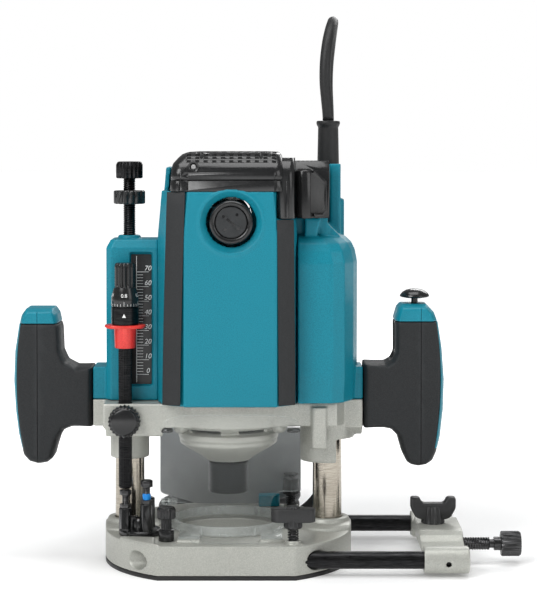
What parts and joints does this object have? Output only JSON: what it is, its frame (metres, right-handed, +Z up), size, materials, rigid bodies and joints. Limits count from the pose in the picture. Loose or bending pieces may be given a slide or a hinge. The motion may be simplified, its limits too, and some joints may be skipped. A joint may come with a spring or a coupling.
{
  "type": "plunge router",
  "caption": "Large plunge router: motor with two side handles sliding on two columns over a round base, turret depth stop and rod guide holder.",
  "frame": {"origin": "under the middle of the machine without its cord, in the plane of the sole's underside", "axes": "+X from the left column to the right one, +Y from the front to the back, +Z up along the spindle"},
  "size_m": [0.3464, 0.2911, 0.3775],
  "materials": {
    "cast_alloy": "fine speckled silver paint on a light alloy casting",
    "sole_plastic": "smooth black sole",
    "column_steel": "ground and plated",
    "spring_steel": "bare wire",
    "clear_plastic": "clear moulded",
    "smoke_plastic": "smoke grey moulded",
    "cord_rubber": "matt",
    "black_plastic": "black, semi-gloss",
    "knob_rubber": "black, matt",
    "grip_rubber": "soft moulded grip",
    "teal_shell": "teal, fine grain",
    "bolt_steel": "blackened",
    "black_rod": "blackened steel",
    "scale_print": "black with white marks",
    "red_plastic": "red, semi-gloss",
    "shaft_steel": "ground",
    "copper_winding": "enamelled windings",
    "fan_plastic": "moulded",
    "carbon": "pressed carbon",
    "collet_steel": "dark oxide"
  },
  "bodies": {
    "base": {"base_casting": "cast_alloy", "base_sole": "sole_plastic", "column_left": "column_steel", "column_right": "column_steel", "plunge_spring_left": "spring_steel", "plunge_spring_right": "spring_steel", "chip_deflector": "clear_plastic", "dust_ring": "clear_plastic", "rear_dust_shield": "smoke_plastic", "cord_coil": "cord_rubber", "plug": "cord_rubber"},
    "height_rod": {"height_rod": "black_plastic"},
    "height_nut": {"height_nut": "black_plastic"},
    "turret": {"stopper_turret": "black_plastic"},
    "bolt_low": {"stopper_bolt_low": "bolt_steel"},
    "bolt_high": {"stopper_bolt_high": "bolt_steel"},
    "deflector_screw": {"deflector_screw": "black_plastic"},
    "rod_clamp_front": {"rod_clamp_front": "knob_rubber"},
    "rod_clamp_rear": {"rod_clamp_rear": "knob_rubber"},
    "template_lever": {"template_lock_lever": "teal_shell"},
    "guide": {"guide_rod_front": "black_rod", "guide_rod_rear": "black_rod", "guide_holder": "cast_alloy"},
    "wing_knob": {"guide_wing_knob": "knob_rubber"},
    "fine_screw": {"fine_adjust_screw": "black_plastic"},
    "motor": {"motor_bracket": "cast_alloy", "front_housing": "teal_shell", "rear_housing": "teal_shell", "brush_cap_front": "black_plastic", "brush_cap_rear": "black_plastic", "carbon_brush_front": "carbon", "carbon_brush_rear": "carbon", "rubber_strip_left": "knob_rubber", "rubber_strip_right": "knob_rubber", "vent_cap": "black_plastic", "switch_cover": "black_plastic", "gauge_cover": "teal_shell", "scale_plate": "scale_print", "right_cover": "teal_shell", "handle_left": "grip_rubber", "handle_left_cap": "teal_shell", "handle_right": "grip_rubber", "handle_right_cap": "teal_shell", "stator": "shaft_steel", "bearing_bottom": "shaft_steel", "bearing_top": "shaft_steel", "cord_guard": "cord_rubber", "cord": "cord_rubber"},
    "spindle": {"rotor_shaft": "shaft_steel", "rotor_core": "copper_winding", "cooling_fan": "fan_plastic", "collet_nut": "collet_steel"},
    "trigger": {"trigger": "black_plastic"},
    "lock_button": {"lock_button": "black_plastic"},
    "plunge_lock": {"plunge_lock_lever": "black_plastic"},
    "shaft_lock": {"shaft_lock_button": "black_plastic"},
    "pole": {"depth_pole": "black_rod"},
    "drum": {"setting_drum": "black_plastic"},
    "pointer": {"depth_pointer": "red_plastic"},
    "pole_lock": {"pole_lock_knob": "black_plastic"}
  },
  "joints": [
    {"name": "plunge", "type": "slide", "parent": "base", "child": "motor", "axis": [0, 0, 1], "range_m": [-0.0235, 0.021], "deforming": ["plunge_spring_left", "plunge_spring_right"]},
    {"name": "depth_pole_slide", "type": "slide", "parent": "motor", "child": "pole", "axis": [0, 0, 1], "range_m": [-0.021, 0.0235]},
    {"name": "depth_pointer_slide", "type": "slide", "parent": "pole", "child": "pointer", "axis": [0, 0, 1], "range_m": [-0.012, 0]},
    {"name": "setting_drum_turn", "type": "hinge", "parent": "pole", "child": "drum", "pos_m": [-0.0954, -0.0366, 0.18], "axis": [0, 0, 1], "continuous": true},
    {"name": "pole_lock_turn", "type": "hinge", "parent": "motor", "child": "pole_lock", "pos_m": [-0.0951, -0.0466, 0.1003], "axis": [0, 1, 0], "range_deg": [0, 360]},
    {"name": "height_rod_turn", "type": "hinge", "parent": "base", "child": "height_rod", "pos_m": [-0.0945, -0.0066, 0.2], "axis": [0, 0, 1], "continuous": true},
    {"name": "height_nut_travel", "type": "slide", "parent": "base", "child": "height_nut", "axis": [0, 0, 1], "range_m": [0, 0.0078]},
    {"name": "turret_turn", "type": "hinge", "parent": "base", "child": "turret", "pos_m": [-0.0854, -0.0366, 0.024], "axis": [0, 0, 1], "range_deg": [-60, 60]},
    {"name": "bolt_low_turn", "type": "hinge", "parent": "turret", "child": "bolt_low", "pos_m": [-0.0954, -0.0366, 0.04], "axis": [0, 0, 1], "continuous": true},
    {"name": "bolt_high_turn", "type": "hinge", "parent": "turret", "child": "bolt_high", "pos_m": [-0.0804, -0.04526, 0.04], "axis": [0, 0, 1], "continuous": true},
    {"name": "deflector_screw_turn", "type": "hinge", "parent": "base", "child": "deflector_screw", "pos_m": [-0.0666, -0.0576, 0.03], "axis": [0, 0, 1], "continuous": true},
    {"name": "rod_clamp_front_turn", "type": "hinge", "parent": "base", "child": "rod_clamp_front", "pos_m": [0.0178, -0.0666, 0.03], "axis": [0, 0, 1], "continuous": true},
    {"name": "rod_clamp_rear_turn", "type": "hinge", "parent": "base", "child": "rod_clamp_rear", "pos_m": [0.0178, 0.0534, 0.03], "axis": [0, 0, 1], "continuous": true},
    {"name": "template_lever_turn", "type": "hinge", "parent": "base", "child": "template_lever", "pos_m": [-0.0017, 0.0604, 0.026], "axis": [0, 0, 1], "range_deg": [0, 18]},
    {"name": "guide_slide", "type": "slide", "parent": "base", "child": "guide", "axis": [1, 0, 0], "range_m": [-0.04, 0.06]},
    {"name": "wing_knob_turn", "type": "hinge", "parent": "guide", "child": "wing_knob", "pos_m": [0.1159, -0.0016, 0.03], "axis": [0, 0, 1], "continuous": true},
    {"name": "fine_screw_turn", "type": "hinge", "parent": "guide", "child": "fine_screw", "pos_m": [0.1538, -0.0286, 0.0138], "axis": [1, 0, 0], "continuous": true},
    {"name": "spindle_spin", "type": "hinge", "parent": "motor", "child": "spindle", "pos_m": [-0.0262, -0.0066, 0.1], "axis": [0, 0, 1], "continuous": true},
    {"name": "trigger_pull", "type": "slide", "parent": "motor", "child": "trigger", "axis": [1, 0, 0], "range_m": [0, 0.005], "stiffness_N_per_m": 400, "springref_m": -0.004},
    {"name": "lock_button_press", "type": "slide", "parent": "motor", "child": "lock_button", "axis": [0, 0, -1], "range_m": [0, 0.003], "stiffness_N_per_m": 500, "springref_m": -0.003},
    {"name": "plunge_lock_turn", "type": "hinge", "parent": "motor", "child": "plunge_lock", "pos_m": [-0.0882, 0.0234, 0.103], "axis": [0, 1, 0], "range_deg": [0, 40]},
    {"name": "shaft_lock_press", "type": "slide", "parent": "motor", "child": "shaft_lock", "axis": [0, -1, 0], "range_m": [0, 0.0025], "stiffness_N_per_m": 500, "springref_m": -0.003}
  ],
  "couplings": [
    {"joint": "depth_pole_slide", "follows": "plunge", "ratio": -1}
  ]
}
